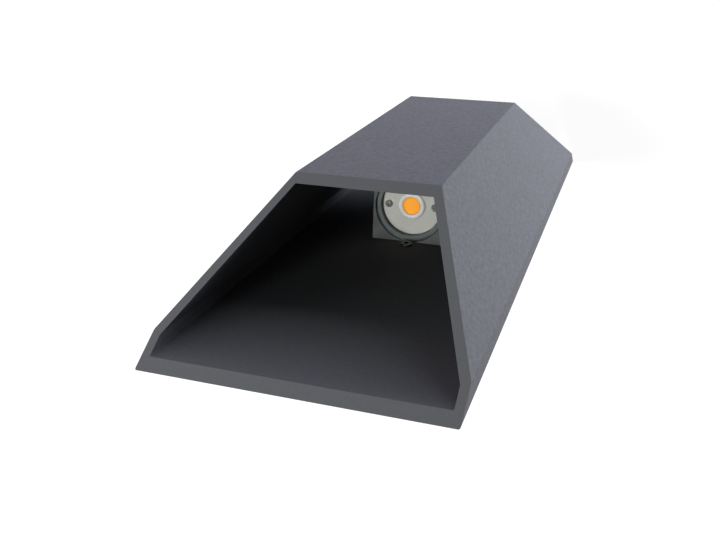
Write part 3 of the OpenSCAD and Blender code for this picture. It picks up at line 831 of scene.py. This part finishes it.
def frameSolid(name, halfX, halfZ, width, low, high):
    # a flat rectangular ring on the wall's plane, between two depths
    outer = block(name, (-halfX - width / 2, -high, -halfZ - width / 2),
                  (halfX + width / 2, -low, halfZ + width / 2))
    inner = block("middle", (-halfX + width / 2, -high - past, -halfZ + width / 2),
                  (halfX - width / 2, -low + past, halfZ - width / 2))
    return cutAway(outer, [inner])


def buildBox(size):
    length = size["halfLength"]
    box = block("lampBox", (-size["halfBack"] + size["draft"], -size["front"], -length),
                (size["halfBack"] - size["draft"], -size["back"], length), size["draft"])
    roundEdges(box, size["easing"])
    roomX, roomDeep, roomZ = size["room"]
    cutAway(box, [block("room", (-roomX, -roomDeep, -roomZ), (roomX, past - size["back"], roomZ))])
    bossX, bossZ, bossWide, bossDeep = size["boss"]
    bosses = []
    for sideX in (-1, 1):
        for sideZ in (-1, 1):
            post = rod(bossWide, size["back"], bossDeep)
            bosses.append(turned("boss", post, outOfWall(sideX * bossX, sideZ * bossZ), 48))
            x = sorted((sideX * bossX, sideX * (roomX + bite)))
            z = sorted((sideZ * bossZ, sideZ * (roomZ + bite)))
            bosses.append(block("bossCorner", (x[0], -bossDeep, z[0]), (x[1], -size["back"], z[1])))
    earthX, earthFace, earthEnd = size["earthBoss"]
    post = rod(bossWide, earthFace, earthEnd)
    bosses.append(turned("earthBoss", post, outOfWall(earthX, 0), 48))
    bosses.append(block("earthBossWeb", (-roomX - bite, -earthEnd, -bossWide / 2),
                        (earthX, -earthFace, bossWide / 2)))
    combine(box, bosses, "UNION")
    cutters = []
    wide = size["pocket"] / 2
    mouth = size["chamfer"]
    for side in (-1, 1):
        # the plate's pocket without its end, then the glass's seat, its wall and its mouth
        profile = rod(size["platePocket"], size["padSeat"], size["seat"])[:-1]
        profile += [(wide, size["seat"]), (wide, length - mouth),
                    (wide + mouth + bite, length + bite), (0, length + bite)]
        cutters.append(turned("pocket", profile, towardsEnd(side, 0, size["axis"]), 128))
        for x in (-1, 1):
            drill = rod(size["screwHole"], roomZ - past, size["seat"])
            place = towardsEnd(side, x * size["screwSpan"] / 2, size["axis"])
            cutters.append(turned("plateDrill", drill, place, 32))
        drill = rod(size["leadHole"], roomZ - past, size["seat"])
        place = towardsEnd(side, 0, size["axis"] + size["leadOffset"])
        cutters.append(turned("leadDrill", drill, place, 48))
        for x in (-1, 1):
            drill = rod(size["boxThread"], size["back"] - past, size["back"] + size["boxThreadDeep"],
                        size["drillTip"])
            cutters.append(turned("boxDrill", drill, outOfWall(x * bossX, side * bossZ), 32))
    drill = rod(size["boxThread"], earthFace - past, earthFace + size["earthThreadDeep"],
                size["drillTip"])
    cutters.append(turned("earthDrill", drill, outOfWall(earthX, 0), 32))
    halfX, halfZ, width, deep = size["groove"]
    cutters.append(frameSolid("groove", halfX, halfZ, width, size["back"] - past, size["back"] + deep))
    cutAway(box, cutters)
    finishPiece(smooth(box), "boxPaint", ["lamp_box"])
    slack = size["sealSlack"]
    deep -= slack / 2
    seal = frameSolid("boxSeal", halfX, halfZ, width - slack, size["back"], size["back"] + deep)
    roundEdges(seal, size["sealEasing"], 2)
    finishPiece(smooth(seal), "blackRubber", ["box_seal"])


buildBox(boxSizes)
print("light box built")

# lights: the same stack of parts at each end, up from the end wall
lightSizes = {
    "axis": boxSizes["axis"],
    "glass": (34.0, 19.7, 2.0, 0.3),  # across, height, thick, easing
    "seal": (33.8, 29.8, 19.2, 0.5, 0.15),  # outer, inner, height, thick, easing
    "plate": (29.4, 15.2, 1.6, 0.15),  # across, height, thick, easing
    "pad": (29.4, 14.9, 0.3, 0.05),
    "ring": (13.9, 8.7, 1.1, 0.22),  # outer, inner, rise, easing
    "ringSteps": (0.5, 1.1, 0.3),  # shoulder and crown from its outer edge, lip from its inner
    "ringShares": (0.3, 0.9, 0.7),  # of its rise: outer wall, shoulder, lip
    "emitter": (8.6, 0.35),  # across, rise
    "gelCreep": (0.96, 0.4, 2.2),  # reach, climb, power of its curve
    "screwSpan": boxSizes["screwSpan"],
    "screwHole": 2.25,
    "leadSide": 2.2,
    "leadOffset": boxSizes["leadOffset"],
    "leadHole": 1.5,
    "lead": 1.2,
    "leadStart": 10.9,
    "leadRise": 0.2,
    "leadCurve": 0.55,
    "solderOffset": 7.65,
}
plateScrew = {"shank": 2.0, "pitch": 0.4, "length": 4.6, "head": 3.8, "rise": 1.0,
              "thread": (0.62, 0.82, 0.4),  # shares: tip, valley, neck
              "dome": (0.62, 0.72, 0.3),  # shares: its rim's height, its flat top, its easing
              "recess": 2.2, "arm": 0.6, "deep": 0.7}


def threaded(radius, low, high, pitch, tip=0.7, valley=0.86, neck=0.5):
    # blunt crests from low to high, as (radius, height) points; tip, valley and neck are shares
    crest = pitch * 0.1  # half of a crest's land
    points = [(0, low), (radius * tip, low)]
    z = low + pitch
    while z < high - pitch:
        points += [(radius * valley, z - pitch / 2), (radius, z - crest), (radius, z + crest)]
        z += pitch
    return points + [(radius * valley, high - pitch * neck), (radius * valley, high)]


def crossRecess(name, width, arm, deep, top):
    # two crossed wedges that narrow downwards, as a driver's tip does
    tipWide, tipThick, overTop = 0.55, 0.7, 0.01
    bm = bmesh.new()
    for turn in (0, 90):
        made = bmesh.ops.create_cube(bm, size=1)["verts"]
        for vert in made:
            low = vert.co.z < 0
            vert.co = Vector((vert.co.x * width * (tipWide if low else 1),
                              vert.co.y * arm * (tipThick if low else 1),
                              top - deep if low else top + overTop))
        bmesh.ops.rotate(bm, verts=made, matrix=Matrix.Rotation(math.radians(turn), 3, "Z"))
    middle = turned("middle", rod(arm, top - deep, top), steps=16)
    return combine(fromMeshCode(name, bm, Matrix.Scale(mm, 4)), [middle], "UNION", True)


def panScrew(name, size):
    # a domed head and a rolled thread with blunt crests, upright with its head's seat at zero
    head = size["head"] / 2
    rise = size["rise"]
    rim, top, easing = size["dome"]
    thread = threaded(size["shank"] / 2, -size["length"], 0, size["pitch"], *size["thread"])
    cap = rounded([thread[-1], (head, 0), (head, rise * rim), (head * top, rise), (0, rise)],
                  rise * easing)
    screw = turned(name, thread + cap[1:], steps=48)
    return cutAway(screw, [crossRecess("recess", size["recess"], size["arm"], size["deep"], rise)])


def placeTurned(name, profile, look, nodes, side):
    # a turned part on the lights' axis
    part = turned(name, profile, towardsEnd(side, 0, lightSizes["axis"]), 128)
    return finishPiece(smooth(part), look, nodes)


def buildLight(end, side, size):
    axis = size["axis"]
    plateTop = size["plate"][1] + size["plate"][2]

    wide, low, thick, easing = size["glass"]
    profile = rounded(rod(wide, low, low + thick), easing, 3)
    pane = placeTurned(end + "Glass", profile, "clearGlass", [end + "_glass"], side)
    pane.visible_shadow = False  # the lamps shine through it
    pane.visible_diffuse = False

    outer, inner, low, thick, easing = size["seal"]
    profile = rounded([(inner / 2, low), (outer / 2, low),
                       (outer / 2, low + thick), (inner / 2, low + thick)], easing, 3, True)
    placeTurned(end + "GlassSeal", profile, "seatSilicone", [end + "_glass_seal"], side)

    outer, inner, rise, easing = size["ring"]
    low = plateTop
    shoulder, crown, lip = size["ringSteps"]
    outerTop, shoulderTop, innerTop = [low + rise * share for share in size["ringShares"]]
    profile = rounded([(inner / 2, low), (outer / 2, low), (outer / 2, outerTop),
                       (outer / 2 - shoulder, shoulderTop), (outer / 2 - crown, low + rise),
                       (inner / 2 + lip, low + rise), (inner / 2, innerTop)], easing, 4, True)
    placeTurned(end + "Ring", profile, "ringWhite", [end + "_led_ring"], side)

    wide, rise = size["emitter"]
    reach, climb, power = size["gelCreep"]  # the gel stands a little up the ring's wall
    steps = 12
    edge = [(wide / 2 - reach * k / steps, low + rise + climb * (1 - k / steps) ** power)
            for k in range(steps + 1)]
    profile = [(0, low), (wide / 2, low)] + edge + [(0, low + rise)]
    placeTurned(end + "Emitter", profile, "phosphor", [end + "_led_emitter"], side)

    for name, (wide, low, thick, easing), look, node, slot in (
            ("Plate", size["plate"], "plateMask", "_led_plate", "plate_white"),
            ("ThermalPad", size["pad"], "gapPad", "_thermal_pad", "thermal_pad")):
        profile = rounded(rod(wide, low, low + thick), easing, 2)
        plate = turned(end + name, profile, towardsEnd(side, 0, axis), 128)
        cutters = []
        holes = [(x * size["screwSpan"] / 2, 0, size["screwHole"]) for x in (-1, 1)]
        holes += [(x * size["leadSide"], -size["leadOffset"], size["leadHole"]) for x in (-1, 1)]
        for x, y, diameter in holes:
            drill = rod(diameter, low - past, low + thick + past)
            cutters.append(turned("drill", drill, towardsEnd(side, x, axis - y), 32))
        cutAway(plate, cutters)
        finishPiece(smooth(plate), look, [end + node])

    part = panScrew("plateScrew", plateScrew)
    part.data.transform(towardsEnd(side))
    screws = copyPart(end + "PlateScrews", part, "dullNickel", (0, -axis, side * plateTop), 2, 1,
                      size["screwSpan"])
    finishPiece(smooth(screws), "dullNickel", [end + "_plate_screws"])


def buildLampLeads(end, side, size):
    # up through the plate, round a bend as wide as the lead, and along to the solder pads
    axis = size["axis"]
    top = sum(size["plate"][1:3]) + size["lead"] / 2 + size["leadRise"]
    start = -axis - size["leadOffset"]
    bend = size["lead"]
    pull = bend * size["leadCurve"]
    routes = []
    for x in (-size["leadSide"], size["leadSide"]):
        route = [(x, start, side * size["leadStart"]), (x, start, side * (top - bend))]
        route += bendRoute((x, start, side * (top - bend)), (x, start, side * (top - bend + pull)),
                           (x, start + pull, side * top), (x, start + bend, side * top), 8)[1:]
        route += [(x, -axis - size["solderOffset"], side * top)]
        routes.append(route)
    made = leads(end + "LampLeads", routes, size["lead"], "lampSleeve")
    finishPiece(made, "lampSleeve", [end + "_lamp_leads"])


for end, side in (("upper", 1), ("lower", -1)):
    buildLight(end, side, lightSizes)
    buildLampLeads(end, side, lightSizes)
print("lights built")

# screws that hold the shade and the box
fixingScrew = {"z": shadeSizes["fixingSpan"] / 2, "tip": 0.3, "seat": 5.9, "shank": 4.0, "pitch": 0.7,
               "head": 5.9, "rise": 1.3, "easing": 0.35, "socket": 2.5, "deep": 1.0}
boxScrew = {"columns": shadeSizes["boxColumns"], "rows": shadeSizes["boxRows"],
            "seat": shadeSizes["back"], "shank": 3.0, "pitch": 0.5, "length": 10.0,
            "head": 5.6, "edge": 0.1, "recess": 3.0, "arm": 0.6, "deep": 0.8}


def buildFixingScrews(size):
    for end, side in (("upper", 1), ("lower", -1)):
        top = size["seat"] + size["rise"]
        head = size["head"] / 2
        profile = threaded(size["shank"] / 2, size["tip"], size["seat"], size["pitch"])
        cap = rounded([profile[-1], (head, size["seat"]), (head, top), (0, top)], size["easing"])
        place = outOfWall(0, side * size["z"])
        screw = turned(end + "FixingScrew", profile + cap[1:], place, 64)
        flat = size["socket"] / math.sqrt(3)
        low = top - size["deep"]
        point, chamfer, over = 0.25, 0.15, 0.2
        hexagon = [(0, low - point), (flat, low), (flat, top - chamfer),
                   (flat + (chamfer + over), top + over), (0, top + over)]
        cutAway(screw, [turned("socket", hexagon, place, 6)])
        finishPiece(smooth(screw), "blackSteel", [end + "_fixing_screw"])


def buildBoxScrews(size):
    head = size["head"] / 2
    seat = size["seat"]
    sink = head - size["shank"] / 2
    edge = size["edge"]
    profile = [(0, seat), (head - edge, seat), (head, seat + edge), (size["shank"] / 2, seat + sink)]
    thread = threaded(size["shank"] / 2, -size["length"], -sink, size["pitch"])
    profile += [(radius, seat - z) for radius, z in reversed(thread)]
    part = turned("boxScrew", profile, steps=48)
    recess = crossRecess("recess", size["recess"], size["arm"], size["deep"], 0)
    recess.data.transform(Matrix.Translation((0, 0, seat * mm)) @ Matrix.Rotation(math.pi, 4, "X"))
    cutAway(part, [recess])
    part.data.transform(outOfWall())
    screws = copyPart("boxScrews", part, "brightZinc", (0, 0, 0), 2, 2, size["columns"], size["rows"])
    finishPiece(smooth(screws), "brightZinc", ["box_screws"])


buildFixingScrews(fixingScrew)
buildBoxScrews(boxScrew)
print("screws built")

# the cable's grommet in the shade's back, and the strip on the wall behind it
grommetSizes = {"bore": 7.2, "waist": 10.9, "lip": 14.0, "lipThick": 1.2, "low": 1.3, "high": 7.1,
                "easing": 0.45}
bracketSizes = {"halfWidth": 14.0, "halfLength": 75.0, "corner": 4.0, "thick": shadeSizes["back"],
                "easing": 0.25, "cableHole": 18.0,
                "fixing": (fixingScrew["z"], 4.04),  # z, across
                "wallHole": (62.0, 4.6, 8.2, 1.8)}  # z, across, countersink's width and depth


def buildGrommet(size):
    bore, waist, lip = size["bore"] / 2, size["waist"] / 2, size["lip"] / 2
    low, high, thick = size["low"], size["high"], size["lipThick"]
    points = [(bore, low), (lip, low), (lip, low + thick), (waist, low + thick),
              (waist, high - thick), (lip, high - thick), (lip, high), (bore, high)]
    grommet = turned("cableGrommet", rounded(points, size["easing"], 4, True), outOfWall())
    finishPiece(smooth(grommet), "blackRubber", ["cable_grommet"])


def buildBracket(size):
    corner = size["corner"]
    outline = []
    steps = 12
    for turn, x, z in ((0, 1, 1), (90, -1, 1), (180, -1, -1), (270, 1, -1)):
        middle = Vector((x * (size["halfWidth"] - corner), z * (size["halfLength"] - corner)))
        for k in range(steps + 1):
            angle = math.radians(turn + k * 90 / steps)
            outline.append(middle + corner * Vector((math.cos(angle), math.sin(angle))))
    bm = bmesh.new()
    face = bm.faces.new([bm.verts.new((spot.x * mm, 0, spot.y * mm)) for spot in outline])
    front = bmesh.ops.extrude_face_region(bm, geom=[face])["geom"]
    moved = [item for item in front if isinstance(item, bmesh.types.BMVert)]
    bmesh.ops.translate(bm, verts=moved, vec=(0, -size["thick"] * mm, 0))
    bmesh.ops.recalc_face_normals(bm, faces=bm.faces)
    strip = roundEdges(fromMeshCode("wallBracket", bm), size["easing"], 2, 40)
    thick = size["thick"]
    cutters = [turned("cable", rod(size["cableHole"], -past, thick + past), outOfWall())]
    for side in (-1, 1):
        z, diameter = size["fixing"]
        drill = rod(diameter, -past, thick + past)
        cutters.append(turned("fixing", drill, outOfWall(0, side * z), 48))
        z, diameter, wide, sink = size["wallHole"]
        # the bore without its end, then the flank of the countersink
        drill = rod(diameter, -past, thick - sink)[:-1]
        drill += [(wide / 2 + past, thick + past), (0, thick + past)]
        cutters.append(turned("wallHole", drill, outOfWall(0, side * z), 64))
    cutAway(strip, cutters)
    finishPiece(smooth(strip), "bracketZinc", ["wall_bracket"])


buildGrommet(grommetSizes)
buildBracket(bracketSizes)
print("grommet and bracket built")

# the parts inside the box keep their shapes and get their own finishes
insideLooks = {
    "driver_case": "whitePlastic",
    "driver_cover": "whitePlastic",
    "driver_board": "boardGreen",
    "driver_transformer": "ferrite",
    "driver_capacitor": "blueSleeve",
    "driver_tape": "foamTape",
    "terminal_block": "whitePlastic",
    "terminal_sleeves": "brass",
    "terminal_screws": "brightZinc",
    "supply_leads": "supplySleeve",
    "earth_screw": "brass",
    "earth_washer": "brightZinc",
    "earth_lug": "brightZinc",
    "earth_lead": "earthSleeve",
}
for node, look in insideLooks.items():
    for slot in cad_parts[node].material_slots:
        slot.material = looks[look]
print("inside parts dressed")
